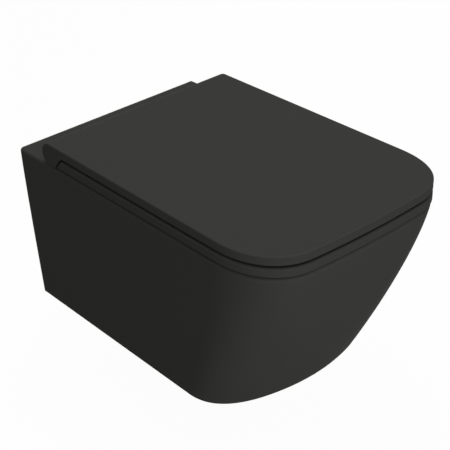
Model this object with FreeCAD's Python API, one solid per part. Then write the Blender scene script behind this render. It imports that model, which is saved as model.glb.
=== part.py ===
import FreeCAD
import Part
import math
import os

# Wall hung toilet: a ceramic pan with a hinged seat and lid, in millimetres.
# Origin: midway between the two wall fixings, on the wall plane. +Z is up, the front faces -Y.

# Pan, outside
DECK_Z = 80.0              # top of the rim and deck, above the wall fixings
PAN_HEIGHT = 266.0         # deck down to the underside
PAN_DEPTH = 540.0          # wall to the front of the rim
BACK_WIDTH = 346.0         # at the wall
FRONT_WIDTH = 365.6        # where the front corners begin
BASE_BACK_WIDTH = 296.0    # at the wall, underside
BASE_FRONT_WIDTH = 323.0   # underside, where the front corners begin
BASE_DEPTH = 446.0         # wall to front, underside
RIM_CORNER_X = 78.0        # front corner of the rim, across
RIM_CORNER_Y = 103.0       # front corner of the rim, along the side
BASE_CORNER_X = 117.0
BASE_CORNER_Y = 87.0
FRONT_BOW = 3.2            # the front edge bulges by this much
CORNER_FULLNESS = 0.604    # handle length of the corner curve, 0.552 would be an ellipse
UNDERCUT_POWER = 1.31      # how late the front falls back on its way down
DRAFT_POWER = 1.12         # the same for the sides
BODY_LEVELS = 6            # plan sections that the outside passes through
TOP_EDGE_R = 5.0
BASE_EDGE_R = 3.0

# Pan, inside
WALL = 12.0                # fired ceramic
DECK_THICKNESS = 14.0
BACK_FLANGE = 16.0         # the wall that carries the pan
FOOT_FLANGE_WIDTH = 18.0   # inward lip along the open underside
FOOT_FLANGE_HEIGHT = 10.0
RIM_EDGE_R = 5.0

# Bowl: plan rings at these depths under the rim
RIM_SIDE = 45.0            # rim beside the opening, at the pan's narrower rear end
RIM_FRONT = 48.0           # rim in front of the opening
RIM_OPENING_REAR = 170.0   # distance from the wall
SHELF_DEPTH = 45.0
SHELF_SIDE_IN = 6.0        # how far the shelf stands in from the rim's opening
SHELF_FRONT_IN = 8.0
SHELF_REAR = 174.0
WAIST_DEPTH = 120.0
WAIST_HALF = 94.0
WAIST_REAR = 204.0
WAIST_FRONT_IN = 62.0
THROAT_DEPTH = 190.0
THROAT_HALF = 56.0
THROAT_REAR = 251.0
THROAT_FRONT = 372.0
SUMP_DEPTH = 254.0         # floor of the sump
SUMP_HALF = 34.0
SUMP_REAR = 264.0
SUMP_FRONT = 332.0
BOWL_CORNER = 0.86         # corner size as a share of the ring's half width
BOWL_WALL = 10.0

# Trapway and waste outlet
TRAP_BORE_R = 24.0
TRAP_WALL = 10.0
TRAP_BEND_R = 36.0
TRAP_DIP_Y = -232.0
TRAP_CREST_Y = -158.0
TRAP_CREST_Z = -24.0
TRAP_FALL_Y = -108.0
OUTLET_Z = -100.0
OUTLET_R = 51.0            # 102 mm spigot
OUTLET_BORE_R = 43.0
OUTLET_LENGTH = 60.0
OUTLET_SETBACK = 15.0      # the spigot ends this far in front of the wall
OUTLET_CLEAR = 24.0        # free space round the spigot for the waste connector

# Flush inlet
INLET_Z = 35.0
INLET_SOCKET_R = 27.5
INLET_SOCKET_DEPTH = 42.0
INLET_WALL = 9.0
DUCT_BORE_R = 19.0
SLOT_HALF = 52.0           # flush slot at the back of the bowl
SLOT_HEIGHT = 12.0
SLOT_Z = 40.0
CHAMBER_LENGTH = 26.0
SEAL_BORE_R = 22.5         # 45 mm flush pipe
SEAL_FLANGE_R = 33.0
SEAL_FLANGE = 3.0
SEAL_PLAY = 0.5            # round the flange
SLIP = 0.02                # clearance of a piece pushed into its seat by hand

# Wall fixings
FIXING_SPACING = 180.0
FIXING_HOLE_R = 6.5        # for an M12 rod
SLEEVE_R = 11.5
SLEEVE_PLAY = 0.3
FIXING_BOSS_R = 21.0
FIXING_BOSS_LENGTH = 44.0
SLEEVE_FLANGE_R = 17.0
SLEEVE_FLANGE = 3.0
WASHER_R = 14.0
WASHER_THICKNESS = 2.5
NUT_ACROSS_FLATS = 19.0
NUT_HEIGHT = 10.0
NUT_BORE_R = 6.1

# Seat and lid
OVERHANG = 1.0             # seat and lid stand this far outside the rim
SEAT_GAP = 3.4             # rim to seat
SEAT_THICKNESS = 13.8
LID_GAP = 5.0              # seat to lid
LID_THICKNESS = 13.2
LID_TOP_EDGE_R = 2.0
SEAT_TOP_EDGE_R = 3.2
SEAT_LOW_EDGE_R = 1.6
SEAT_SIDE = 67.0           # seat beside its opening, at the narrower rear end
SEAT_FRONT = 78.0          # seat in front of its opening
SEAT_OPENING_REAR = 196.0
SEAT_OPENING_CORNER = 0.8
SEAT_WALL = 6.0
SEAT_SKIN = 5.4
LID_WALL = 6.0
LID_SKIN = 4.0

# Hinge
AXIS_Y = -75.0             # distance of the hinge axis from the wall
AXIS_HEIGHT = 22.0         # above the deck
BARREL_LIFT = 0.6          # rolled rear end of the lid above the deck
EAR_FOOT = 12.0            # the lid's side reaches down this far in front of the axis
EAR_SLOPE_RUN = 16.0       # and its front leans forward by this much
EAR_GAP = 3.3              # from there to the seat
PIN_R = 4.0
PIN_CLEARANCE = 0.05
HUB_R = 8.0
BUSH_R = 5.5
HINGE_SPACING = 155.0      # hinge holes in the deck
HINGE_HOLE_Y = -105.0
HINGE_HOLE_R = 8.0
POST_WIDTH = 21.0
POST_LEAN = 70.0           # the arm leaves the hub this far forward of straight down
ARM_THICKNESS = 6.0
COLUMN_THICKNESS = 9.0
COLUMN_CLEAR = 0.7         # column to bolt head
FOOT_R = 18.5              # round foot of the post
FOOT_THICKNESS = 4.0
FOOT_PLAY = 3.0            # foot to seat
GASKET_THICKNESS = 1.5
LUG_WIDTH = 17.0
LUG_WEB = 6.0
LUG_ROOT = 52.0            # the seat's lug reaches this far in front of the axis
LUG_DROP = 14.0            # and this far below it
HINGE_SIDE_GAP = 1.5       # between post and lugs
BOLT_R = 4.0
BOLT_PLAY = 0.3
BOLT_HEAD_R = 6.8
BOLT_HEAD = 4.0
BOLT_LENGTH = 46.0
BOLT_KEY = 5.0             # across the flats of the hexagon socket
BOLT_KEY_DEPTH = 2.5
PLUG_FLARE_R = 11.5
PLUG_LENGTH = 34.0
PLUG_TAPER = 10.0
PLUG_NUT_ACROSS = 13.0
PLUG_NUT = 6.0
GRUB_R = 2.0
GRUB_SINK = 0.1            # grub screw below the hub's surface, and above the pin
DAMPER_R = 7.5
DAMPER_LENGTH = 40.0
DAMPER_FLANGE = 3.0
DAMPER_FLANGE_R = 8.2
DAMPER_GRIP = 9.0          # the pin reaches this far into a damper
NOTCH_START = -10.0        # the rolled end is open from here, in degrees behind straight down
NOTCH_AT_POST = 141.0      # to here at a post
NOTCH_AT_LUG = 46.0        # and to here at the seat's lug

# Rubber buffers
BUFFER_IN = 27.0           # buffers from the edge of the seat's narrower rear end
SEAT_BUFFER_FRONT = 115.0  # front buffers from the front of the pan
SEAT_BUFFER_REAR = 215.0   # rear buffers from the wall
LID_BUFFER_FRONT = 88.0
LID_BUFFER_REAR = 180.0
BUFFER_LENGTH = 26.0
BUFFER_WIDTH = 13.0
BUFFER_PLUG_R = 4.0
BUFFER_PLUG = 5.0
BUFFER_RIM = 3.0           # boss round a buffer
BUFFER_SINK = 2.0          # the boss starts this far inside the recess
BUFFER_REST = 0.3          # buffer to what it lands on

BASE_Z = DECK_Z - PAN_HEIGHT
DECK_UNDER = DECK_Z - DECK_THICKNESS
RIM_OPENING_HALF = BACK_WIDTH / 2 - RIM_SIDE
RIM_OPENING_FRONT = PAN_DEPTH - RIM_FRONT
SHELF_HALF = RIM_OPENING_HALF - SHELF_SIDE_IN
SHELF_FRONT = RIM_OPENING_FRONT - SHELF_FRONT_IN
WAIST_FRONT = RIM_OPENING_FRONT - WAIST_FRONT_IN
SPIGOT_FRONT = -(OUTLET_SETBACK + OUTLET_LENGTH)
WINDOW_R = OUTLET_R + OUTLET_CLEAR
CHAMBER_REAR = -(SHELF_REAR - BOWL_WALL) + CHAMBER_LENGTH
CHAMBER_FRONT = CHAMBER_REAR - CHAMBER_LENGTH
CHAMBER_LOW = INLET_Z - DUCT_BORE_R
SLOT_TOP = SLOT_Z + SLOT_HEIGHT
SEAT_OPENING_HALF = BACK_WIDTH / 2 - SEAT_SIDE
SEAT_OPENING_FRONT = PAN_DEPTH - SEAT_FRONT
BUFFER_X = BACK_WIDTH / 2 - BUFFER_IN
SEAT_BUFFER_YS = (SEAT_BUFFER_FRONT - PAN_DEPTH, -SEAT_BUFFER_REAR)
LID_BUFFER_YS = (LID_BUFFER_FRONT - PAN_DEPTH, -LID_BUFFER_REAR)
SEAT_Z = DECK_Z + SEAT_GAP
SEAT_TOP = SEAT_Z + SEAT_THICKNESS
LID_Z = SEAT_TOP + LID_GAP
LID_TOP = LID_Z + LID_THICKNESS
AXIS_Z = DECK_Z + AXIS_HEIGHT
BARREL_LOW = DECK_Z + BARREL_LIFT
BARREL_R = (LID_TOP - BARREL_LOW) / 2
BARREL_Z = LID_TOP - BARREL_R
SEAT_CEILING = SEAT_TOP - SEAT_SKIN
LID_CEILING = LID_TOP - LID_SKIN
HINGE_X = HINGE_SPACING / 2
POST_X = (HINGE_X - POST_WIDTH / 2, HINGE_X + POST_WIDTH / 2)
SEAT_LUG_X = (POST_X[0] - HINGE_SIDE_GAP - LUG_WIDTH, POST_X[0] - HINGE_SIDE_GAP)
LID_LUG_X = (POST_X[1] + HINGE_SIDE_GAP, POST_X[1] + HINGE_SIDE_GAP + LUG_WIDTH)
FOOT_Z = DECK_Z + GASKET_THICKNESS
FOOT_TOP = FOOT_Z + FOOT_THICKNESS
FAR = 2 * PAN_DEPTH        # longer than anything that is cut
PAST = 1.0                 # a cut, or a boss that grows out of a wall, reaches this far past the face
TOUCH = 0.01


def vec(x, y, z):
    return FreeCAD.Vector(x, y, z)


def save(shape, name):
    shape.exportStep("parts/" + name + ".step")
    print(name, len(shape.Solids), "solid(s)", round(shape.Volume / 1000.0, 1), "cm3", shape.isValid())


def box(x0, x1, y0, y1, z0, z1):
    return Part.makeBox(x1 - x0, y1 - y0, z1 - z0, vec(x0, y0, z0))


def rod_x(x0, x1, y, z, radius):
    return Part.makeCylinder(radius, x1 - x0, vec(x0, y, z), vec(1, 0, 0))


def rod_y(y0, y1, x, z, radius):
    return Part.makeCylinder(radius, y1 - y0, vec(x, y0, z), vec(0, 1, 0))


def rod_z(z0, z1, x, y, radius):
    return Part.makeCylinder(radius, z1 - z0, vec(x, y, z0), vec(0, 0, 1))


def hexagon(across, height):
    """Upright hexagonal prism on the origin."""
    radius = across / math.sqrt(3)
    turns = [i * math.pi / 3 for i in range(7)]
    corners = [vec(radius * math.cos(turn), radius * math.sin(turn), 0) for turn in turns]
    return Part.Face(Part.makePolygon(corners)).extrude(vec(0, 0, height))


def mirrored(shape):
    return shape.mirror(vec(0, 0, 0), vec(1, 0, 0))


def pair(shape):
    """The shape and its mirror image on the other side."""
    return Part.makeCompound([shape, mirrored(shape)])


def fused(shapes):
    return shapes[0].fuse(shapes[1:]).removeSplitter()


def side_profile(points, x0, x1):
    """A prism across X over a closed outline of (y, z) points."""
    wire = Part.makePolygon([vec(x0, y, z) for y, z in points + points[:1]])
    return Part.Face(wire).extrude(vec(x1 - x0, 0, 0))


# Plan outline of the rim, and of everything that follows it

def corner(start, end, start_handle, end_handle):
    curve = Part.BezierCurve()
    curve.setPoles([start, start + start_handle, end + end_handle, end])
    return curve.toShape()


def outline(z, back_half, front_half, depth, corner_x, corner_y, grow=0.0, back_y=0.0):
    """Closed plan wire: square at the back, a flared side, a full corner and a bowed front."""
    corner_start = -(depth - FRONT_BOW - corner_y)
    flare = (front_half - back_half) / corner_start
    back_x = back_half + flare * back_y + grow
    side_x = front_half + grow
    front_x = front_half - corner_x
    front_y = -(depth + grow - FRONT_BOW)
    side_end = vec(side_x, corner_start, z)
    front_end = vec(front_x, front_y, z)
    reach_y = CORNER_FULLNESS * (corner_y + grow)
    reach_x = CORNER_FULLNESS * (corner_x + grow)
    side_handle = vec(-flare * reach_y, -reach_y, 0)
    front_handle = vec(reach_x, reach_x * 2 * FRONT_BOW / front_x, 0)
    flip = [vec(-p.x, p.y, p.z) for p in (side_end, front_end, side_handle, front_handle)]
    back_right = vec(back_x, back_y, z)
    back_left = vec(-back_x, back_y, z)
    edges = [
        Part.LineSegment(back_left, back_right).toShape(),
        Part.LineSegment(back_right, side_end).toShape(),
        corner(side_end, front_end, side_handle, front_handle),
        Part.Arc(front_end, vec(0, -(depth + grow), z), flip[1]).toShape(),
        corner(flip[1], flip[0], flip[3], flip[2]),
        Part.LineSegment(flip[0], back_left).toShape(),
    ]
    return Part.Wire(edges)


def body_outline(fall, grow=0.0, back_y=0.0):
    """The pan's plan at a share of its height below the deck."""
    draft = fall ** DRAFT_POWER
    undercut = fall ** UNDERCUT_POWER

    def between(top, base, share):
        return top + (base - top) * share

    return outline(
        DECK_Z - fall * PAN_HEIGHT,
        between(BACK_WIDTH, BASE_BACK_WIDTH, draft) / 2,
        between(FRONT_WIDTH, BASE_FRONT_WIDTH, draft) / 2,
        between(PAN_DEPTH, BASE_DEPTH, undercut),
        between(RIM_CORNER_X, BASE_CORNER_X, fall),
        between(RIM_CORNER_Y, BASE_CORNER_Y, fall),
        grow,
        back_y,
    )


def body_loft(top_fall, base_fall, grow=0.0, back_y=0.0):
    step = (base_fall - top_fall) / (BODY_LEVELS - 1)
    wires = [body_outline(top_fall + step * i, grow, back_y) for i in range(BODY_LEVELS)]
    return Part.makeLoft(wires, True, False)


def plan_prism(z0, z1, grow=0.0, back_y=0.0):
    """The rim's plan as a straight prism, for the seat and the lid."""
    wire = outline(
        z0, BACK_WIDTH / 2, FRONT_WIDTH / 2, PAN_DEPTH, RIM_CORNER_X, RIM_CORNER_Y, grow, back_y
    )
    return Part.Face(wire).extrude(vec(0, 0, z1 - z0))


def ring(z, half, rear, front, share):
    """Closed plan wire of a bowl section: straight sides and four oval corners."""
    corner_x = half * share
    corner_y = (front - rear) / 2 * share
    ellipse = 0.5523
    edges = []
    corners = []
    for sx, sy in ((1, 1), (1, -1), (-1, -1), (-1, 1)):
        y = -rear if sy > 0 else -front
        on_side = vec(sx * half, y - sy * corner_y, z)
        on_end = vec(sx * (half - corner_x), y, z)
        to_side = vec(0, sy * corner_y * ellipse, 0)
        to_end = vec(sx * corner_x * ellipse, 0, 0)
        corners.append((on_side, on_end, to_side, to_end))
    order = ((0, False), (1, True), (2, False), (3, True))
    last = None
    first = None
    for index, from_side in order:
        on_side, on_end, to_side, to_end = corners[index]
        if from_side:
            start, end, start_handle, end_handle = on_side, on_end, to_side, to_end
        else:
            start, end, start_handle, end_handle = on_end, on_side, to_end, to_side
        if last is not None:
            edges.append(Part.LineSegment(last, start).toShape())
        else:
            first = start
        edges.append(corner(start, end, start_handle, end_handle))
        last = end
    edges.append(Part.LineSegment(last, first).toShape())
    return Part.Wire(edges)


def bowl_loft(grow, floor_drop, top_z):
    levels = [
        (SHELF_DEPTH, SHELF_HALF, SHELF_REAR, SHELF_FRONT),
        (WAIST_DEPTH, WAIST_HALF, WAIST_REAR, WAIST_FRONT),
        (THROAT_DEPTH, THROAT_HALF, THROAT_REAR, THROAT_FRONT),
        (SUMP_DEPTH + floor_drop, SUMP_HALF, SUMP_REAR, SUMP_FRONT),
    ]
    wires = [
        ring(top_z, RIM_OPENING_HALF + grow, RIM_OPENING_REAR - grow, RIM_OPENING_FRONT + grow, BOWL_CORNER)
    ]
    for depth, half, rear, front in levels:
        wires.append(ring(DECK_Z - depth, half + grow, rear - grow, front + grow, BOWL_CORNER))
    return Part.makeLoft(wires, True, False)


def trap_path():
    """Centre line of the trapway in the plane x = 0: out of the sump, over the crest, into the spigot."""
    dip_z = DECK_Z - SUMP_DEPTH + TRAP_BORE_R
    spigot_start = SPIGOT_FRONT + PAST
    sump_middle = -(SUMP_REAR + SUMP_FRONT) / 2
    points = [
        vec(0, sump_middle, dip_z),
        vec(0, TRAP_DIP_Y, dip_z),
        vec(0, TRAP_CREST_Y, TRAP_CREST_Z),
        vec(0, TRAP_FALL_Y, OUTLET_Z),
        vec(0, spigot_start, OUTLET_Z),
    ]
    edges = []
    here = points[0]
    for before, bend, after in zip(points, points[1:], points[2:]):
        back = (before - bend).normalize()
        ahead = (after - bend).normalize()
        half_turn = (math.pi - back.getAngle(ahead)) / 2
        radius = TRAP_BEND_R
        tangent = radius * math.tan(half_turn)
        middle = (back + ahead).normalize()
        arc_middle = bend + middle * (radius / math.cos(half_turn) - radius)
        start = bend + back * tangent
        end = bend + ahead * tangent
        edges.append(Part.LineSegment(here, start).toShape())
        edges.append(Part.Arc(start, arc_middle, end).toShape())
        here = end
    edges.append(Part.LineSegment(here, points[-1]).toShape())
    return Part.Wire(edges)


def trap_tube(radius):
    path = trap_path()
    start = path.Vertexes[0].Point
    section = Part.Wire([Part.makeCircle(radius, start, vec(0, 1, 0))])
    return path.makePipeShell([section], True, True)


def level_edges(shape, z, back_y=-1.0):
    """The level edges of a shape at height z that reach in front of back_y."""
    found = []
    for edge in shape.Edges:
        bounds = edge.BoundBox
        if bounds.ZMin > z - TOUCH and bounds.ZMax < z + TOUCH and bounds.YMin < back_y:
            found.append(edge)
    return found


# Ceramic pan: one fired piece, made whole and then divided where its own parts meet

def pan_outside():
    body = body_loft(0.0, 1.0, 0.0, PAST).cut(box(-FAR, FAR, 0, FAR, -FAR, FAR))
    body = body.makeFillet(TOP_EDGE_R, level_edges(body, DECK_Z))
    return body.makeFillet(BASE_EDGE_R, level_edges(body, BASE_Z))


def pan_hollow():
    """Space between the outer walls and the bowl, open underneath."""
    top_fall = DECK_THICKNESS / PAN_HEIGHT
    base_fall = 1.0 - FOOT_FLANGE_HEIGHT / PAN_HEIGHT
    room = body_loft(top_fall, base_fall, -WALL, -BACK_FLANGE)
    mouth_wire = body_outline(1.0, -WALL - FOOT_FLANGE_WIDTH, -BACK_FLANGE)
    mouth = Part.Face(mouth_wire).extrude(vec(0, 0, FOOT_FLANGE_HEIGHT + WALL))
    mouth.translate(vec(0, 0, -PAST))
    return [room, mouth]


def outlet_window():
    """The back flange stands open round the spigot and below it."""
    return [
        rod_y(-BACK_FLANGE - PAST, PAST, 0, OUTLET_Z, WINDOW_R),
        box(-WINDOW_R, WINDOW_R, -BACK_FLANGE - PAST, PAST, BASE_Z - PAST, OUTLET_Z),
    ]


def pan_bosses():
    """Bowl, trapway, spigot, flush channel and fixing bosses, before they are hollowed."""
    duct_half = DUCT_BORE_R + INLET_WALL
    chamber_half = SLOT_HALF + INLET_WALL
    into_deck = DECK_UNDER + DECK_THICKNESS / 2
    bosses = [
        bowl_loft(BOWL_WALL, BOWL_WALL, DECK_Z - PAST),
        trap_tube(TRAP_BORE_R + TRAP_WALL),
        rod_y(SPIGOT_FRONT, -OUTLET_SETBACK, 0, OUTLET_Z, OUTLET_R),
        rod_y(-INLET_SOCKET_DEPTH - INLET_WALL, -PAST, 0, INLET_Z, INLET_SOCKET_R + INLET_WALL),
        rod_y(CHAMBER_FRONT, -INLET_SOCKET_DEPTH, 0, INLET_Z, duct_half),
        box(-duct_half, duct_half, CHAMBER_REAR, -PAST, INLET_Z, into_deck),
        box(
            -chamber_half, chamber_half, CHAMBER_FRONT - BOWL_WALL, CHAMBER_REAR + INLET_WALL,
            CHAMBER_LOW - INLET_WALL, into_deck,
        ),
    ]
    for x in (-FIXING_SPACING / 2, FIXING_SPACING / 2):
        bosses.append(rod_y(-FIXING_BOSS_LENGTH, -PAST, x, 0, FIXING_BOSS_R))
    return bosses


def pan_bores():
    """Everything that water, pipes, sleeves and hinge plugs pass through."""
    bores = [
        bowl_loft(0.0, 0.0, DECK_Z + PAST),
        trap_tube(TRAP_BORE_R),
        rod_y(SPIGOT_FRONT + TRAP_WALL, 0, 0, OUTLET_Z, OUTLET_BORE_R),
        rod_y(-INLET_SOCKET_DEPTH, PAST, 0, INLET_Z, INLET_SOCKET_R),
        rod_y(-SEAL_FLANGE, PAST, 0, INLET_Z, SEAL_FLANGE_R + SEAL_PLAY),
        rod_y(CHAMBER_REAR - PAST, 0, 0, INLET_Z, DUCT_BORE_R),
        box(-SLOT_HALF, SLOT_HALF, CHAMBER_FRONT, CHAMBER_REAR, CHAMBER_LOW, SLOT_TOP),
        box(-SLOT_HALF, SLOT_HALF, -WAIST_REAR, CHAMBER_REAR, SLOT_Z, SLOT_TOP),
    ]
    for side in (-1, 1):
        fixing_x = side * FIXING_SPACING / 2
        bores.append(rod_y(-FIXING_BOSS_LENGTH - PAST, PAST, fixing_x, 0, SLEEVE_R + SLEEVE_PLAY))
        bores.append(rod_z(DECK_UNDER - PAST, DECK_Z + PAST, side * HINGE_X, HINGE_HOLE_Y, HINGE_HOLE_R))
    return bores


def ceramic_pan():
    shell = pan_outside().cut(pan_hollow() + outlet_window())
    pan = shell.fuse(pan_bosses()).cut(pan_bores()).removeSplitter()
    rim = [
        edge for edge in level_edges(pan, DECK_Z, -RIM_OPENING_REAR + PAST)
        if edge.BoundBox.YMin > -RIM_OPENING_FRONT - PAST and edge.BoundBox.XMax < RIM_OPENING_HALF + PAST
        and edge.BoundBox.XMin > -RIM_OPENING_HALF - PAST
    ]
    return pan.makeFillet(RIM_EDGE_R, rim)


def pan_divisions():
    """The parts of the pan by name, each with the space that is its own; what no space takes is the shell."""
    side = SLOT_HALF + INLET_WALL + PAST
    arch_foot = OUTLET_Z + math.sqrt(WINDOW_R ** 2 - side ** 2)
    under_deck = box(-FAR, FAR, -FAR, FAR, -FAR, DECK_UNDER)
    bowl = bowl_loft(BOWL_WALL + PAST, BOWL_WALL + PAST, DECK_Z).common(under_deck)
    spigot = rod_y(SPIGOT_FRONT - PAST, PAST, 0, OUTLET_Z, OUTLET_R + PAST)
    trapway = trap_tube(TRAP_BORE_R + TRAP_WALL + PAST).fuse(spigot)
    channel = box(-side, side, CHAMBER_FRONT - BOWL_WALL - PAST, PAST, arch_foot - PAST, DECK_UNDER)
    recess_r = SEAL_FLANGE_R + SEAL_PLAY + PAST
    seal_recess = box(-recess_r, recess_r, -SEAL_FLANGE - PAST, PAST, INLET_Z, INLET_Z + recess_r)
    return [("pan_bowl", bowl), ("pan_trapway", trapway), ("pan_flush_channel", channel.fuse(seal_recess))]


def save_pan():
    rest = ceramic_pan()
    for name, space in pan_divisions():
        save(rest.common(space), name)
        rest = rest.cut(space)
    save(rest, "pan_shell")


# Flush seal and wall fixings

def inlet_seal():
    sleeve = rod_y(-INLET_SOCKET_DEPTH, 0, 0, INLET_Z, INLET_SOCKET_R - SLIP)
    flange = rod_y(-SEAL_FLANGE, 0, 0, INLET_Z, SEAL_FLANGE_R)
    bore = rod_y(-INLET_SOCKET_DEPTH - PAST, PAST, 0, INLET_Z, SEAL_BORE_R)
    return fused([sleeve, flange]).cut(bore)


def fixing_sleeve():
    x = FIXING_SPACING / 2
    flange_y = -FIXING_BOSS_LENGTH - SLEEVE_FLANGE
    tube = rod_y(flange_y, 0, x, 0, SLEEVE_R)
    flange = rod_y(flange_y, -FIXING_BOSS_LENGTH, x, 0, SLEEVE_FLANGE_R)
    return fused([tube, flange]).cut(rod_y(flange_y - PAST, PAST, x, 0, FIXING_HOLE_R))


def fixing_washer():
    x = FIXING_SPACING / 2
    seat_y = -FIXING_BOSS_LENGTH - SLEEVE_FLANGE
    disc = rod_y(seat_y - WASHER_THICKNESS, seat_y, x, 0, WASHER_R)
    return disc.cut(rod_y(-FAR, 0, x, 0, FIXING_HOLE_R))


def fixing_nut():
    x = FIXING_SPACING / 2
    seat_y = -FIXING_BOSS_LENGTH - SLEEVE_FLANGE - WASHER_THICKNESS
    nut = hexagon(NUT_ACROSS_FLATS, NUT_HEIGHT)
    nut.rotate(vec(0, 0, 0), vec(1, 0, 0), 90)
    nut.translate(vec(x, seat_y, 0))
    return nut.cut(rod_y(-FAR, 0, x, 0, NUT_BORE_R))


# Hinge, modelled on the right and mirrored

def hinge_base():
    """Foot, column, an arm that leans back to the axis, and the hub that holds the pin."""
    lean = math.radians(POST_LEAN)
    along_y, along_z = -math.sin(lean), -math.cos(lean)
    column_front = HINGE_HOLE_Y + BOLT_HEAD_R + COLUMN_CLEAR
    column_rear = column_front + COLUMN_THICKNESS
    across_y, across_z = -along_z * ARM_THICKNESS / 2, along_y * ARM_THICKNESS / 2

    def on_arm(side, y):
        start_y = AXIS_Y - side * across_y
        start_z = AXIS_Z - side * across_z
        return (y, start_z + (y - start_y) / along_y * along_z)

    profile = [
        (AXIS_Y - across_y, AXIS_Z - across_z),
        on_arm(1, column_front),
        (column_front, FOOT_Z),
        (column_rear, FOOT_Z),
        on_arm(-1, column_rear),
        (AXIS_Y + across_y, AXIS_Z + across_z),
    ]
    post = fused([
        rod_z(FOOT_Z, FOOT_TOP, HINGE_X, HINGE_HOLE_Y, FOOT_R),
        side_profile(profile, POST_X[0], POST_X[1]),
        rod_x(POST_X[0], POST_X[1], AXIS_Y, AXIS_Z, HUB_R),
    ])
    return post.cut([
        rod_x(POST_X[0] - PAST, POST_X[1] + PAST, AXIS_Y, AXIS_Z, PIN_R + SLIP),
        rod_z(FOOT_Z - PAST, FOOT_TOP + PAST, HINGE_X, HINGE_HOLE_Y, BOLT_R + BOLT_PLAY),
        rod_z(AXIS_Z, AXIS_Z + HUB_R + PAST, HINGE_X, AXIS_Y, GRUB_R + SLIP),
    ])


def hinge_gasket():
    disc = rod_z(DECK_Z, FOOT_Z, HINGE_X, HINGE_HOLE_Y, FOOT_R)
    return disc.cut(rod_z(DECK_Z - PAST, FOOT_Z + PAST, HINGE_X, HINGE_HOLE_Y, BOLT_R + BOLT_PLAY))


def hinge_plug():
    """Rubber plug, spread under the deck."""
    low = DECK_Z - PLUG_LENGTH
    plug = fused([
        rod_z(DECK_UNDER - PAST, DECK_Z, HINGE_X, HINGE_HOLE_Y, HINGE_HOLE_R - SLIP),
        rod_z(low + PLUG_TAPER, DECK_UNDER, HINGE_X, HINGE_HOLE_Y, PLUG_FLARE_R),
        Part.makeCone(HINGE_HOLE_R - SLIP, PLUG_FLARE_R, PLUG_TAPER, vec(HINGE_X, HINGE_HOLE_Y, low)),
    ])
    return plug.cut(rod_z(low - PAST, DECK_Z + PAST, HINGE_X, HINGE_HOLE_Y, BOLT_R + SLIP))


def hinge_plug_nut():
    nut = hexagon(PLUG_NUT_ACROSS, PLUG_NUT)
    nut.translate(vec(HINGE_X, HINGE_HOLE_Y, DECK_Z - PLUG_LENGTH - PLUG_NUT))
    return nut.cut(rod_z(-FAR, FAR, HINGE_X, HINGE_HOLE_Y, BOLT_R + SLIP))


def hinge_bolt():
    key = hexagon(BOLT_KEY, BOLT_HEAD)
    key.translate(vec(HINGE_X, HINGE_HOLE_Y, FOOT_TOP + BOLT_HEAD - BOLT_KEY_DEPTH))
    shank = rod_z(FOOT_TOP - BOLT_LENGTH, FOOT_TOP + PAST, HINGE_X, HINGE_HOLE_Y, BOLT_R)
    head = rod_z(FOOT_TOP, FOOT_TOP + BOLT_HEAD, HINGE_X, HINGE_HOLE_Y, BOLT_HEAD_R)
    return fused([shank, head]).cut(key)


def grub_screw():
    return rod_z(AXIS_Z + PIN_R + GRUB_SINK, AXIS_Z + HUB_R - GRUB_SINK, HINGE_X, AXIS_Y, GRUB_R)


def bush(span):
    tube = rod_x(span[0], span[1], AXIS_Y, AXIS_Z, BUSH_R)
    return tube.cut(rod_x(span[0] - PAST, span[1] + PAST, AXIS_Y, AXIS_Z, PIN_R + PIN_CLEARANCE))


def damper(face_x, direction):
    """Soft close cartridge on a lug's face; the pin's end turns inside it."""
    def piece(start, end, radius):
        ends = sorted((face_x + direction * start, face_x + direction * end))
        return rod_x(ends[0], ends[1], AXIS_Y, AXIS_Z, radius)

    solid = fused([piece(0, DAMPER_FLANGE, DAMPER_FLANGE_R), piece(0, DAMPER_LENGTH, DAMPER_R)])
    return solid.cut(piece(-PAST, DAMPER_GRIP + PAST, PIN_R + PIN_CLEARANCE))


# Rubber buffers

def stadium(x, y, z0, z1, grow=0.0):
    radius = BUFFER_WIDTH / 2 + grow
    reach = (BUFFER_LENGTH - BUFFER_WIDTH) / 2
    return fused([
        rod_z(z0, z1, x, y - reach, radius),
        rod_z(z0, z1, x, y + reach, radius),
        box(x - radius, x + radius, y - reach, y + reach, z0, z1),
    ])


def buffer_bosses(ys, face_z, ceiling):
    return [stadium(x, y, face_z, ceiling + PAST, BUFFER_RIM) for x in (-BUFFER_X, BUFFER_X) for y in ys]


def buffer_holes(ys, face_z):
    return [
        rod_z(face_z - PAST, face_z + BUFFER_PLUG + BUFFER_REST, x, y, BUFFER_PLUG_R + SLIP)
        for x in (-BUFFER_X, BUFFER_X) for y in ys
    ]


def buffers(ys, floor_z, face_z):
    pads = []
    for x in (-BUFFER_X, BUFFER_X):
        for y in ys:
            pad = stadium(x, y, floor_z + BUFFER_REST, face_z)
            plug = rod_z(face_z - PAST, face_z + BUFFER_PLUG, x, y, BUFFER_PLUG_R)
            pads.append(fused([pad, plug]))
    return Part.makeCompound(pads)


# Seat

def ahead_of_ear(gap):
    """Everything in front of a face parallel to the leaning front of the lid's side, this far from it."""
    rise = LID_Z - BARREL_LOW
    foot_y = AXIS_Y - EAR_FOOT - gap * math.hypot(EAR_SLOPE_RUN, rise) / rise
    return side_profile(
        [(foot_y, BARREL_LOW), (foot_y - EAR_SLOPE_RUN, LID_Z), (-FAR, LID_Z), (-FAR, BARREL_LOW)], -FAR, FAR
    )


def seat_hole(z0, z1, grow=0.0):
    wire = ring(
        z0, SEAT_OPENING_HALF + grow, SEAT_OPENING_REAR - grow, SEAT_OPENING_FRONT + grow, SEAT_OPENING_CORNER
    )
    return Part.Face(wire).extrude(vec(0, 0, z1 - z0))


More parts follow.
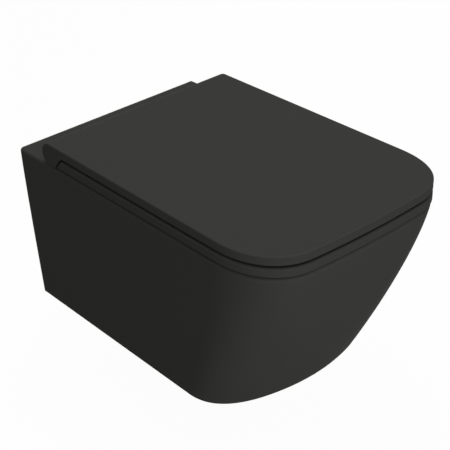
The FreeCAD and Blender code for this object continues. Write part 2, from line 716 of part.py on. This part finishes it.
def seat_ring():
    ring_solid = plan_prism(SEAT_Z, SEAT_TOP, OVERHANG).cut(seat_hole(SEAT_Z - PAST, SEAT_TOP + PAST))
    ring_solid = ring_solid.makeFillet(SEAT_TOP_EDGE_R, level_edges(ring_solid, SEAT_TOP))
    ring_solid = ring_solid.makeFillet(SEAT_LOW_EDGE_R, level_edges(ring_solid, SEAT_Z))
    recess = plan_prism(SEAT_Z - PAST, SEAT_CEILING, OVERHANG - SEAT_WALL)
    recess = recess.common(ahead_of_ear(EAR_GAP + SEAT_WALL))
    recess = recess.cut(seat_hole(SEAT_Z - 2 * PAST, SEAT_TOP, SEAT_WALL))
    cuts = [recess]
    for side in (-1, 1):
        foot = rod_z(SEAT_Z - PAST, SEAT_CEILING, side * HINGE_X, HINGE_HOLE_Y, FOOT_R + FOOT_PLAY)
        slot_x = sorted((side * SEAT_LUG_X[1], side * LID_LUG_X[0]))
        slot = box(slot_x[0], slot_x[1], HINGE_HOLE_Y, 0, SEAT_Z - PAST, SEAT_CEILING)
        cuts += [foot, slot]
    seat = ring_solid.common(ahead_of_ear(EAR_GAP)).cut(cuts)
    lug_profile = [
        (AXIS_Y, AXIS_Z + HUB_R),
        (AXIS_Y - LUG_ROOT, SEAT_TOP),
        (AXIS_Y - LUG_ROOT, AXIS_Z - LUG_DROP),
        (AXIS_Y, AXIS_Z - HUB_R),
    ]
    lug = side_profile(lug_profile, SEAT_LUG_X[0], SEAT_LUG_X[1])
    hub = rod_x(SEAT_LUG_X[0], SEAT_LUG_X[1], AXIS_Y, AXIS_Z, HUB_R)
    face_z = SEAT_Z + BUFFER_SINK
    lugs = [lug, hub, mirrored(lug), mirrored(hub)]
    seat = seat.fuse(lugs + buffer_bosses(SEAT_BUFFER_YS, face_z, SEAT_CEILING))
    holes = buffer_holes(SEAT_BUFFER_YS, face_z)
    for side in (-1, 1):
        span = sorted((side * SEAT_LUG_X[0], side * SEAT_LUG_X[1]))
        holes.append(rod_x(span[0] - PAST, span[1] + PAST, AXIS_Y, AXIS_Z, BUSH_R + SLIP))
    return seat.cut(holes).removeSplitter()


# Lid

def lid_outside():
    profile = [
        (AXIS_Y, LID_TOP),
        (-FAR, LID_TOP),
        (-FAR, LID_Z),
        (AXIS_Y - EAR_FOOT - EAR_SLOPE_RUN, LID_Z),
        (AXIS_Y - EAR_FOOT, BARREL_LOW),
        (AXIS_Y, BARREL_LOW),
    ]
    side = fused([side_profile(profile, -FAR, FAR), rod_x(-FAR, FAR, AXIS_Y, BARREL_Z, BARREL_R)])
    lid = side.common(plan_prism(DECK_Z, LID_TOP + PAST, OVERHANG)).removeSplitter()
    return lid.makeFillet(LID_TOP_EDGE_R, level_edges(lid, LID_TOP, AXIS_Y - PAST))


def lid_hollow():
    room = box(-FAR, FAR, -FAR, AXIS_Y, DECK_Z - PAST, LID_CEILING)
    room = room.fuse(rod_x(-FAR, FAR, AXIS_Y, BARREL_Z, BARREL_R - LID_SKIN))
    return room.common(plan_prism(DECK_Z - 2 * PAST, LID_TOP, OVERHANG - LID_WALL))


def notch(x0, x1, angle):
    """Opening in the rolled end: a fan about the axis, from straight below round the back."""
    points = [(AXIS_Y, AXIS_Z)]
    for i in range(4):
        turn = math.radians(NOTCH_START + (angle - NOTCH_START) * i / 3)
        points.append((AXIS_Y + 2 * BARREL_R * math.sin(turn), AXIS_Z - 2 * BARREL_R * math.cos(turn)))
    return side_profile(points, x0, x1)


def lid_shell():
    at_post = notch(SEAT_LUG_X[1], LID_LUG_X[0], NOTCH_AT_POST)
    at_lug = notch(SEAT_LUG_X[0] - HINGE_SIDE_GAP, SEAT_LUG_X[1] + TOUCH, NOTCH_AT_LUG)
    shell = lid_outside().cut([lid_hollow(), at_post, at_lug, mirrored(at_post), mirrored(at_lug)])
    web_x = (LID_LUG_X[0] + LID_LUG_X[1] - LUG_WEB) / 2
    web = rod_x(web_x, web_x + LUG_WEB, AXIS_Y, BARREL_Z, BARREL_R - LID_SKIN / 2)
    hub = rod_x(LID_LUG_X[0], LID_LUG_X[1], AXIS_Y, AXIS_Z, HUB_R)
    hanger = box(
        LID_LUG_X[0], LID_LUG_X[1], AXIS_Y - HUB_R, AXIS_Y + HUB_R, AXIS_Z, LID_CEILING + LID_SKIN / 8
    )
    face_z = LID_Z + BUFFER_SINK
    lugs = [web, hub, hanger, mirrored(web), mirrored(hub), mirrored(hanger)]
    shell = shell.fuse(lugs + buffer_bosses(LID_BUFFER_YS, face_z, LID_CEILING))
    holes = buffer_holes(LID_BUFFER_YS, face_z)
    for side in (-1, 1):
        span = sorted((side * LID_LUG_X[0], side * LID_LUG_X[1]))
        holes.append(rod_x(span[0] - PAST, span[1] + PAST, AXIS_Y, AXIS_Z, BUSH_R + SLIP))
    return shell.cut(holes).removeSplitter()


os.makedirs("parts", exist_ok=True)
save_pan()
save(inlet_seal(), "inlet_seal")
save(pair(fixing_sleeve()), "fixing_sleeves")
save(pair(fixing_washer()), "fixing_washers")
save(pair(fixing_nut()), "fixing_nuts")
save(hinge_base(), "hinge_base_right")
save(mirrored(hinge_base()), "hinge_base_left")
save(pair(hinge_gasket()), "hinge_gaskets")
save(pair(hinge_plug()), "hinge_plugs")
save(pair(hinge_plug_nut()), "hinge_plug_nuts")
save(pair(hinge_bolt()), "hinge_bolts")
save(pair(grub_screw()), "hinge_grub_screws")
# The left pin drives the seat's damper at its inner end, the right pin the lid's at its outer end.
save(mirrored(rod_x(SEAT_LUG_X[0] - DAMPER_GRIP, LID_LUG_X[1], AXIS_Y, AXIS_Z, PIN_R)), "hinge_pin_left")
save(rod_x(SEAT_LUG_X[0], LID_LUG_X[1] + DAMPER_GRIP, AXIS_Y, AXIS_Z, PIN_R), "hinge_pin_right")
save(seat_ring(), "seat_ring")
save(pair(bush(SEAT_LUG_X)), "seat_bushes")
save(buffers(SEAT_BUFFER_YS, DECK_Z, SEAT_Z + BUFFER_SINK), "seat_buffers")
save(damper(-SEAT_LUG_X[0], 1), "seat_damper")
save(lid_shell(), "lid_shell")
save(pair(bush(LID_LUG_X)), "lid_bushes")
save(buffers(LID_BUFFER_YS, SEAT_TOP, LID_Z + BUFFER_SINK), "lid_buffers")
save(damper(LID_LUG_X[1], 1), "lid_damper")
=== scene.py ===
# %% [markdown]
# # A wall hung toilet in matte black
# The shapes of this object are exact: glazed ceramic and moulded plastic with real walls, gaps and
# hinges. They come ready made as a frame of CAD parts. Blender's work here is the surface of every part,
# the small moulded details that a CAD part leaves out, the light that shows a black object without losing
# its edges, and the camera that repeats the photograph.

# %% Load the parts
import math

import bmesh
import bpy
from mathutils import Matrix, Vector


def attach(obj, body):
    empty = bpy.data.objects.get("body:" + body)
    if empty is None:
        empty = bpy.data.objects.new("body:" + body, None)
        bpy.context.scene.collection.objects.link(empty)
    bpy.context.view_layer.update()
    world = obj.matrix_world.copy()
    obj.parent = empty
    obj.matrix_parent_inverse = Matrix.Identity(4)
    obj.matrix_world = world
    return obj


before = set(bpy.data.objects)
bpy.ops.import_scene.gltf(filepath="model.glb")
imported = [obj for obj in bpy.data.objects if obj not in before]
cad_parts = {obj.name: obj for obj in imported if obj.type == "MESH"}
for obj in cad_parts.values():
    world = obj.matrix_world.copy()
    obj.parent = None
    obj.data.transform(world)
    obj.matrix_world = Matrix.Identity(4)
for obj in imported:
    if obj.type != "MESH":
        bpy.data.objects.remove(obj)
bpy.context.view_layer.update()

# %% [markdown]
# ## Camera
# The photograph looks down on the front left corner with a long lens. Azimuth, elevation and distance
# were fitted to the outline of the pan and to the lines of the lid, so the camera is placed from those
# three numbers and a target, instead of by hand.

# %% Camera
CAMERA_AZIMUTH = math.radians(-43.26)
CAMERA_ELEVATION = math.radians(30.65)
CAMERA_DISTANCE = 2.1555
CAMERA_TARGET = Vector((0.0140, -0.2451, -0.0235))
CAMERA_LENS = 115.6


def toward_camera(azimuth, elevation):
    return Vector((
        math.sin(azimuth) * math.cos(elevation),
        -math.cos(azimuth) * math.cos(elevation),
        math.sin(elevation),
    ))


view_direction = toward_camera(CAMERA_AZIMUTH, CAMERA_ELEVATION)
camera_data = bpy.data.cameras.new("camera")
camera_data.sensor_width = 36.0
camera_data.lens = CAMERA_LENS
camera = bpy.data.objects.new("camera", camera_data)
camera.location = CAMERA_TARGET + view_direction * CAMERA_DISTANCE
camera.rotation_euler = view_direction.to_track_quat("Z", "Y").to_euler()
bpy.context.scene.collection.objects.link(camera)
bpy.context.scene.camera = camera
print("camera at", [round(c, 3) for c in camera.location])

# %% [markdown]
# ## World
# A white world fills the shadows. A black object needs little fill, or its dark side turns grey, so the
# world is dim for the light that it gives and full white only for what the camera, a mirror or glass sees
# of it. The Light Path node tells these rays apart.

# %% Rays that see the background
def background_rays(tree):
    """1 for a camera, glossy or transmission ray, 0 for a ray that carries light to the object."""
    paths = tree.nodes.new("ShaderNodeLightPath")
    seen = paths.outputs["Is Camera Ray"]
    for other in ("Is Glossy Ray", "Is Transmission Ray"):
        either = tree.nodes.new("ShaderNodeMath")
        either.operation = "MAXIMUM"
        tree.links.new(seen, either.inputs[0])
        tree.links.new(paths.outputs[other], either.inputs[1])
        seen = either.outputs[0]
    return seen


# %% World
AMBIENT = 0.40

world = bpy.data.worlds.new("studio")
world.use_nodes = True
bpy.context.scene.world = world
background = world.node_tree.nodes["Background"]
background.inputs["Color"].default_value = (1.0, 1.0, 1.0, 1.0)
strength = world.node_tree.nodes.new("ShaderNodeMapRange")
strength.inputs["To Min"].default_value = AMBIENT
strength.inputs["To Max"].default_value = 1.0
world.node_tree.links.new(background_rays(world.node_tree), strength.inputs["Value"])
world.node_tree.links.new(strength.outputs["Result"], background.inputs["Strength"])
bpy.context.scene.view_settings.view_transform = "Standard"
print("ambient:", AMBIENT)

# %% [markdown]
# ## Lamps
# On the real object the lid and the front are equally bright, the left side is much darker, and the gap
# between lid and seat stays black although it faces the light. Only a low lamp in front does that,
# because its light grazes along the gap's floor. A second soft lamp above lights the lid. A weak third
# one stands behind on the right, level with the object, so that it doesn't reach the sides that the
# photograph shows and still makes the far side and the wall side readable when the toilet is turned.

# %% Lamps
FRONT_DIRECTION = Vector((-0.28, -0.96, 0.2)).normalized()
FRONT_POWER = 48.0
TOP_DIRECTION = Vector((0.0, 0.05, 1.0)).normalized()
TOP_POWER = 27.0
BACK_DIRECTION = Vector((0.9, 0.42, 0.0)).normalized()
BACK_POWER = 14.0
OBJECT_MIDDLE = Vector((0.0, -0.27, -0.03))


def soft_lamp(name, direction, distance, size, power):
    data = bpy.data.lights.new(name, "AREA")
    data.shape = "DISK"
    data.size = size
    data.energy = power
    lamp = bpy.data.objects.new(name, data)
    lamp.location = OBJECT_MIDDLE + direction * distance
    lamp.rotation_euler = direction.to_track_quat("Z", "Y").to_euler()
    bpy.context.scene.collection.objects.link(lamp)
    return lamp


for lamp in (
    soft_lamp("front_lamp", FRONT_DIRECTION, 3.0, 1.2, FRONT_POWER),
    soft_lamp("top_lamp", TOP_DIRECTION, 2.2, 1.4, TOP_POWER),
    soft_lamp("back_lamp", BACK_DIRECTION, 3.0, 1.6, BACK_POWER),
):
    print(lamp.name, [round(c, 2) for c in lamp.location])

# %% [markdown]
# ## Floor
# The pan hangs 0.4 m above the floor at its rim. A very white floor would light the pan from below, which
# the photograph doesn't show. So the floor's own grey is dark enough to throw little light up, and its
# shading, with the soft shadow in it, is mixed weakly into a white glow for the rays that see the
# background. The two together come to a plain white.

# %% Floor
FLOOR_BELOW_FIXINGS = 0.32
FLOOR_HALF = 6.0
FLOOR_COLOR = 0.2
FLOOR_SHADE = 0.15
FLOOR_GLOW = 1.13

floor_material = bpy.data.materials.new("pale_floor")
floor_material.use_nodes = True
nodes = floor_material.node_tree.nodes
links = floor_material.node_tree.links
shade = nodes["Principled BSDF"]
shade.inputs["Base Color"].default_value = (FLOOR_COLOR, FLOOR_COLOR, FLOOR_COLOR, 1.0)
shade.inputs["Roughness"].default_value = 0.9
glow = nodes.new("ShaderNodeEmission")
glow.inputs["Strength"].default_value = FLOOR_GLOW
mixed = nodes.new("ShaderNodeMixShader")
whiten = nodes.new("ShaderNodeMath")
whiten.operation = "MULTIPLY"
whiten.inputs[1].default_value = 1.0 - FLOOR_SHADE
links.new(background_rays(floor_material.node_tree), whiten.inputs[0])
links.new(whiten.outputs[0], mixed.inputs["Fac"])
links.new(shade.outputs[0], mixed.inputs[1])
links.new(glow.outputs[0], mixed.inputs[2])
links.new(mixed.outputs[0], nodes["Material Output"].inputs["Surface"])

sheet = bmesh.new()
bmesh.ops.create_grid(sheet, x_segments=1, y_segments=1, size=FLOOR_HALF)
bmesh.ops.translate(sheet, verts=sheet.verts, vec=(0, 0, -FLOOR_BELOW_FIXINGS))
floor_mesh = bpy.data.meshes.new("floor")
sheet.to_mesh(floor_mesh)
sheet.free()
floor_mesh.materials.append(floor_material)
floor = bpy.data.objects.new("floor", floor_mesh)
bpy.context.scene.collection.objects.link(floor)
print("floor below the fixings:", FLOOR_BELOW_FIXINGS)

# %% [markdown]
# ## Tools for the finishes
# Every finish starts as one Principled shader. What makes it a material is how it varies: a slow drift of
# tone and roughness over the piece, and a fine relief of its own grain. All patterns read the object's
# own coordinates in metres, so a scale of 1000 means a grain of about one millimetre.

# %% Start a finish
class Finish:
    def __init__(self, name, roughness, gloss, metal=0.0):
        self.material = bpy.data.materials.new(name)
        self.material.use_nodes = True
        self.nodes = self.material.node_tree.nodes
        self.links = self.material.node_tree.links
        self.shader = self.nodes["Principled BSDF"]
        self.shader.inputs["Metallic"].default_value = metal
        self.shader.inputs["Specular IOR Level"].default_value = gloss
        self.shader.inputs["Roughness"].default_value = roughness
        self.place = self.nodes.new("ShaderNodeTexCoord").outputs["Object"]

    def grain(self, scale, detail=2.0, stretch=(1.0, 1.0, 1.0)):
        """Noise with about scale spots per metre, drawn out along the axes where stretch is small."""
        turned = self.nodes.new("ShaderNodeMapping")
        turned.inputs["Scale"].default_value = stretch
        self.links.new(self.place, turned.inputs["Vector"])
        noise = self.nodes.new("ShaderNodeTexNoise")
        noise.inputs["Scale"].default_value = scale
        noise.inputs["Detail"].default_value = detail
        self.links.new(turned.outputs["Vector"], noise.inputs["Vector"])
        return noise.outputs["Fac"]

    def spread(self, value, low, high, start=0.3, end=0.7):
        """value from start to end becomes low to high."""
        reach = self.nodes.new("ShaderNodeMapRange")
        for name, number in (("From Min", start), ("From Max", end), ("To Min", low), ("To Max", high)):
            reach.inputs[name].default_value = number
        self.links.new(value, reach.inputs["Value"])
        return reach.outputs["Result"]

    def tones(self, value, dark, light):
        ramp = self.nodes.new("ShaderNodeValToRGB")
        for stop, position, color in zip(ramp.color_ramp.elements, (0.3, 0.7), (dark, light)):
            stop.position = position
            stop.color = (*color, 1.0)
        self.links.new(value, ramp.inputs["Fac"])
        return ramp.outputs["Color"]

    def blend(self, mask, first, second):
        """first where the mask is 0 and second where it is 1."""
        mix = self.nodes.new("ShaderNodeMix")
        mix.data_type = "RGBA"
        self.links.new(mask, mix.inputs[0])
        self.links.new(first, mix.inputs[6])
        self.links.new(second, mix.inputs[7])
        return mix.outputs[2]

    def combine(self, operation, first, second):
        node = self.nodes.new("ShaderNodeMath")
        node.operation = operation
        for socket, value in zip(node.inputs, (first, second)):
            if isinstance(value, float):
                socket.default_value = value
            else:
                self.links.new(value, socket)
        return node.outputs[0]

    def paint(self, color=None, roughness=None):
        if color is not None:
            self.links.new(color, self.shader.inputs["Base Color"])
        if roughness is not None:
            self.links.new(roughness, self.shader.inputs["Roughness"])

    def relief(self, *layers):
        """layers are pairs of a height pattern and its depth in metres, coarse first."""
        below = None
        for height, depth in layers:
            bump = self.nodes.new("ShaderNodeBump")
            bump.inputs["Distance"].default_value = depth
            self.links.new(height, bump.inputs["Height"])
            if below is not None:
                self.links.new(below, bump.inputs["Normal"])
            below = bump.outputs["Normal"]
        self.links.new(below, self.shader.inputs["Normal"])


def shades(color, share):
    """The same colour a share darker and a share lighter."""
    return tuple(c * (1 - share) for c in color), tuple(c * (1 + share) for c in color)


# %% [markdown]
# ## Matte glaze
# A matte glaze is a glass full of tiny crystals: nearly all of its light is scattered, and its surface
# has faint waves from the firing under a silk-fine grain. The face that sits on the wall and the foot are
# ground after firing, so they show the bare buff clay with its speckles. The glaze line there is never
# quite straight, which a little noise on the height of the mask gives.

# %% Matte glaze
GLAZE_BLACK = (0.0435, 0.0442, 0.041)
CLAY_BUFF = (0.5, 0.45, 0.38)
FOOT_LEVEL = -0.186
GROUND_DEPTH = 0.0005
GROUND_WANDER = 0.0004
GROUND_EDGE = 0.0002

matte_glaze = Finish("matte_black_glaze", roughness=0.55, gloss=0.002)
glaze_drift = matte_glaze.grain(7.0, detail=3.0)
glaze_grain = matte_glaze.grain(1500.0)
glaze_tone = matte_glaze.tones(glaze_drift, *shades(GLAZE_BLACK, 0.025))
clay_tone = matte_glaze.tones(matte_glaze.grain(900.0, detail=4.0), *shades(CLAY_BUFF, 0.18))
axes = matte_glaze.nodes.new("ShaderNodeSeparateXYZ")
matte_glaze.links.new(matte_glaze.place, axes.inputs[0])
wander = matte_glaze.spread(matte_glaze.grain(120.0), 0.0, GROUND_WANDER)
from_wall = matte_glaze.combine("ADD", axes.outputs["Y"], wander)
from_foot = matte_glaze.combine("SUBTRACT", axes.outputs["Z"], wander)
wall_side = matte_glaze.spread(from_wall, 0.0, 1.0, -GROUND_DEPTH, -GROUND_DEPTH + GROUND_EDGE)
foot_top = FOOT_LEVEL + GROUND_DEPTH
foot_side = matte_glaze.spread(from_foot, 1.0, 0.0, foot_top - GROUND_EDGE, foot_top)
ground_off = matte_glaze.combine("MAXIMUM", wall_side, foot_side)
matte_glaze.paint(
    color=matte_glaze.blend(ground_off, glaze_tone, clay_tone),
    roughness=matte_glaze.spread(glaze_drift, 0.5, 0.6),
)
matte_glaze.relief((matte_glaze.grain(140.0), 0.00002), (glaze_grain, 0.000008))
print("glaze:", GLAZE_BLACK, "bare from", -GROUND_DEPTH, "to the wall")

# %% [markdown]
# ## Seat and lid plastic
# The seat and lid are moulded. Their tool was eroded by sparks, which leaves an even grain of a third of
# a millimetre, finer than the glaze's waves and a touch smoother: only here does the photograph show a
# soft highlight on the rounded corner. The gloss itself is almost nothing, because more of it draws a
# bright line along the rolled rear end of the lid, where the eye only grazes the surface. A moulding has
# no drift of tone, only of roughness.

# %% Seat and lid plastic
PLASTIC_BLACK = (0.0395, 0.0401, 0.0372)

seat_plastic = Finish("matte_black_plastic", roughness=0.45, gloss=0.002)
plastic_grain = seat_plastic.grain(2800.0, detail=1.0)
seat_plastic.paint(
    color=seat_plastic.tones(plastic_grain, *shades(PLASTIC_BLACK, 0.05)),
    roughness=seat_plastic.spread(seat_plastic.grain(11.0), 0.42, 0.5),
)
seat_plastic.relief((seat_plastic.grain(45.0), 0.00002), (plastic_grain, 0.000008))
print("plastic:", PLASTIC_BLACK)

# %% [markdown]
# ## Rubber, acetal and polyamide
# Rubber seals and buffers carry a bloom, a pale dust of wax that lies in patches. The bushes and dampers
# are acetal, smooth and a little glossy. The sleeves in the wall holes are natural polyamide, the colour
# of cream.

# %% Rubber
soft_rubber = Finish("black_rubber", roughness=0.8, gloss=0.15)
bloom = soft_rubber.grain(60.0, detail=6.0)
soft_rubber.paint(
    color=soft_rubber.tones(bloom, (0.011, 0.011, 0.011), (0.022, 0.022, 0.021)),
    roughness=soft_rubber.spread(bloom, 0.72, 0.88),
)
soft_rubber.relief((soft_rubber.grain(2400.0), 0.00002))

# %% Acetal and polyamide
acetal = Finish("black_acetal", roughness=0.35, gloss=0.3)
flow = acetal.grain(90.0, detail=3.0, stretch=(0.25, 1.0, 1.0))
acetal.paint(
    color=acetal.tones(flow, (0.018, 0.018, 0.018), (0.023, 0.023, 0.023)),
    roughness=acetal.spread(flow, 0.3, 0.4),
)
acetal.relief((flow, 0.00001))

polyamide = Finish("natural_polyamide", roughness=0.45, gloss=0.4)
cream = polyamide.grain(35.0, detail=3.0)
polyamide.paint(
    color=polyamide.tones(cream, (0.58, 0.55, 0.47), (0.66, 0.64, 0.57)),
    roughness=polyamide.spread(cream, 0.38, 0.52),
)
polyamide.relief((polyamide.grain(700.0), 0.00001))
print("rubber, acetal and polyamide are ready")

# %% [markdown]
# ## Metals
# Brushed steel is scratched along one direction. Noise that is drawn out a hundred times along an axis
# looks like those scratches: along X on the pins, up and down on the posts and plates. The hinge bolts
# are the same steel with a thread, rings 1.25 mm apart below the deck, and their colour carries painted
# shade in the same rings, darker towards each crest. The brass nuts are turned, so their marks run round
# them in level rings.

# %% Brushed steel
STEEL = (0.55, 0.55, 0.56)


def brushed_steel(name, stretch):
    steel = Finish(name, roughness=0.3, gloss=0.5, metal=1.0)
    scratches = steel.grain(2600.0, detail=2.0, stretch=stretch)
    steel.paint(
        color=steel.tones(scratches, *shades(STEEL, 0.05)),
        roughness=steel.spread(scratches, 0.22, 0.36),
    )
    steel.relief((steel.grain(30.0), 0.00002), (scratches, 0.000006))
    return steel


steel_upright = brushed_steel("steel_brushed_upright", (1.0, 1.0, 0.01))
steel_along = brushed_steel("steel_brushed_along", (0.01, 1.0, 1.0))

# %% Threaded steel
THREAD_PITCH = 0.00125
THREAD_RELIEF = 0.0005
THREAD_FADE = 0.004
DECK_LEVEL = 0.08

threaded_steel = Finish("threaded_steel", roughness=0.3, gloss=0.5, metal=1.0)
heights = threaded_steel.nodes.new("ShaderNodeSeparateXYZ")
threaded_steel.links.new(threaded_steel.place, heights.inputs[0])
turns = threaded_steel.combine("PINGPONG", heights.outputs["Z"], THREAD_PITCH / 2)
below_deck = threaded_steel.spread(
    heights.outputs["Z"], 1.0, 0.0, DECK_LEVEL - THREAD_FADE, DECK_LEVEL)
full_turns = threaded_steel.combine("DIVIDE", turns, THREAD_PITCH / 2)
thread = threaded_steel.combine("MULTIPLY", full_turns, below_deck)
# Painted shade: the thread's rings are painted darker grey towards each crest, lighter at each root.
threaded_steel.paint(
    color=threaded_steel.tones(thread, (0.56, 0.56, 0.57), (0.42, 0.42, 0.43)),
    roughness=threaded_steel.spread(threaded_steel.grain(400.0), 0.24, 0.36),
)
threaded_steel.relief((thread, THREAD_RELIEF))

# %% Turned brass
turned_brass = Finish("turned_brass", roughness=0.32, gloss=0.5, metal=1.0)
tool_marks = turned_brass.grain(3000.0, stretch=(0.02, 0.02, 1.0))
turned_brass.paint(
    color=turned_brass.tones(tool_marks, (0.6, 0.4, 0.14), (0.7, 0.49, 0.19)),
    roughness=turned_brass.spread(tool_marks, 0.26, 0.38),
)
turned_brass.relief((tool_marks, 0.00001))
print("steel, thread and brass are ready")

# %% [markdown]
# ## Dress the CAD parts
# The shapes stay as they are. Each part's mesh gets its finish in place of the plain one it came with.

# %% Dress the parts
FINISHES = {
    matte_glaze: ("pan_shell", "pan_bowl", "pan_trapway", "pan_flush_channel"),
    seat_plastic: ("seat_ring", "lid_shell"),
    soft_rubber: ("inlet_seal", "hinge_gaskets", "hinge_plugs", "seat_buffers", "lid_buffers"),
    acetal: ("seat_bushes", "lid_bushes", "seat_damper", "lid_damper"),
    polyamide: ("fixing_sleeves",),
    steel_upright: ("fixing_washers", "fixing_nuts", "hinge_base_left", "hinge_base_right"),
    steel_along: ("hinge_grub_screws", "hinge_pin_left", "hinge_pin_right"),
    threaded_steel: ("hinge_bolts",),
    turned_brass: ("hinge_plug_nuts",),
}
dressed = 0
for finish, names in FINISHES.items():
    for name in names:
        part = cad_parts[name]
        part.data.materials.clear()
        part.data.materials.append(finish.material)
        dressed += 1
print("dressed parts:", dressed, "of", len(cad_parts))

# %% [markdown]
# ## Moulded details
# Under the lid and the seat, the pins that push a moulding out of its tool leave small round marks with a
# raised rim. The rubber seal of the flush pipe has three thin lips that the pipe bends back. Both are
# round, so both are a small profile that the spin operator takes once round an axis. They're new pieces
# that ride on the body they belong to, because a CAD part's own mesh isn't touched.

# %% Place a piece
def place_piece(shape, name, body, finish):
    bmesh.ops.recalc_face_normals(shape, faces=shape.faces)
    mesh = bpy.data.meshes.new(name)
    shape.to_mesh(mesh)
    shape.free()
    mesh.shade_smooth()
    mesh.materials.append(finish.material)
    piece = bpy.data.objects.new(name, mesh)
    bpy.context.scene.collection.objects.link(piece)
    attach(piece, body)
    print(name, "has", len(mesh.polygons), "faces")


def spin_round(shape, axis, centre, steps):
    """Takes the open or closed profile in shape once round the axis."""
    bmesh.ops.spin(
        shape, geom=list(shape.verts) + list(shape.edges), cent=centre, axis=axis,
        angle=math.tau, steps=steps, use_merge=True,
    )
    bmesh.ops.remove_doubles(shape, verts=shape.verts, dist=1e-6)


# %% [markdown]
# ### Ejector marks
# The rim of a mark is a wire of 0.8 mm laid in a ring of 9 mm, half sunk into the skin. One ring is made
# and then copied to every place, which keeps all the marks of a part in one light mesh.

# %% Ejector marks
MARK_RADIUS = 0.0045
MARK_WIRE = 0.0004
MARK_STEPS = 28


def ejector_marks(name, body, height, places):
    shape = bmesh.new()
    upright = Matrix.Translation((MARK_RADIUS, 0, 0)) @ Matrix.Rotation(math.pi / 2, 4, "X")
    bmesh.ops.create_circle(shape, segments=8, radius=MARK_WIRE, matrix=upright)
    spin_round(shape, (0, 0, 1), (0, 0, 0), MARK_STEPS)
    first = list(shape.verts) + list(shape.edges) + list(shape.faces)
    for x, y in places[1:]:
        copy = bmesh.ops.duplicate(shape, geom=first)
        moved = [item for item in copy["geom"] if isinstance(item, bmesh.types.BMVert)]
        bmesh.ops.translate(shape, verts=moved, vec=(x, y, height))
    moved = [item for item in first if isinstance(item, bmesh.types.BMVert)]
    bmesh.ops.translate(shape, verts=moved, vec=(*places[0], height))
    place_piece(shape, name, body, seat_plastic)


LID_CEILING = 0.1114
SEAT_CEILING = 0.0918
lid_places = [(x, y) for y in (-0.2, -0.28, -0.36, -0.44, -0.505) for x in (-0.1, -0.035, 0.035, 0.1)]
seat_places = [(x, y) for x in (-0.136, 0.136) for y in (-0.25, -0.3, -0.35)]
seat_places += [(x, -0.497) for x in (-0.09, -0.03, 0.03, 0.09)]
ejector_marks("lid_ejector_marks", "lid", LID_CEILING, lid_places)
ejector_marks("seat_ejector_marks", "seat", SEAT_CEILING, seat_places)

# %% [markdown]
# ### Lips of the flush seal
# Each lip is a thin wedge on the wall of the bore, leaning inwards, so its profile needs only three
# corners.

# %% Flush seal lips
SEAL_CENTRE = (0.0, 0.0, 0.035)
SEAL_BORE = 0.0225
LIP_STARTS = (-0.012, -0.021, -0.030)
LIP_HEIGHT = 0.0006
LIP_LENGTH = 0.003
LIP_FOOT = 0.0004
LIP_SUNK = 0.0002
LIP_STEPS = 64

lips = bmesh.new()
for start in LIP_STARTS:
    corners = [
        lips.verts.new((radius, y, SEAL_CENTRE[2])) for radius, y in (
            (SEAL_BORE + LIP_SUNK, start),
            (SEAL_BORE - LIP_HEIGHT, start - LIP_LENGTH),
            (SEAL_BORE + LIP_SUNK, start - LIP_LENGTH - LIP_FOOT),
        )
    ]
    for begin, end in ((0, 1), (1, 2), (2, 0)):
        lips.edges.new((corners[begin], corners[end]))
spin_round(lips, (0, 1, 0), SEAL_CENTRE, LIP_STEPS)
place_piece(lips, "flush_seal_lips", "pan", soft_rubber)
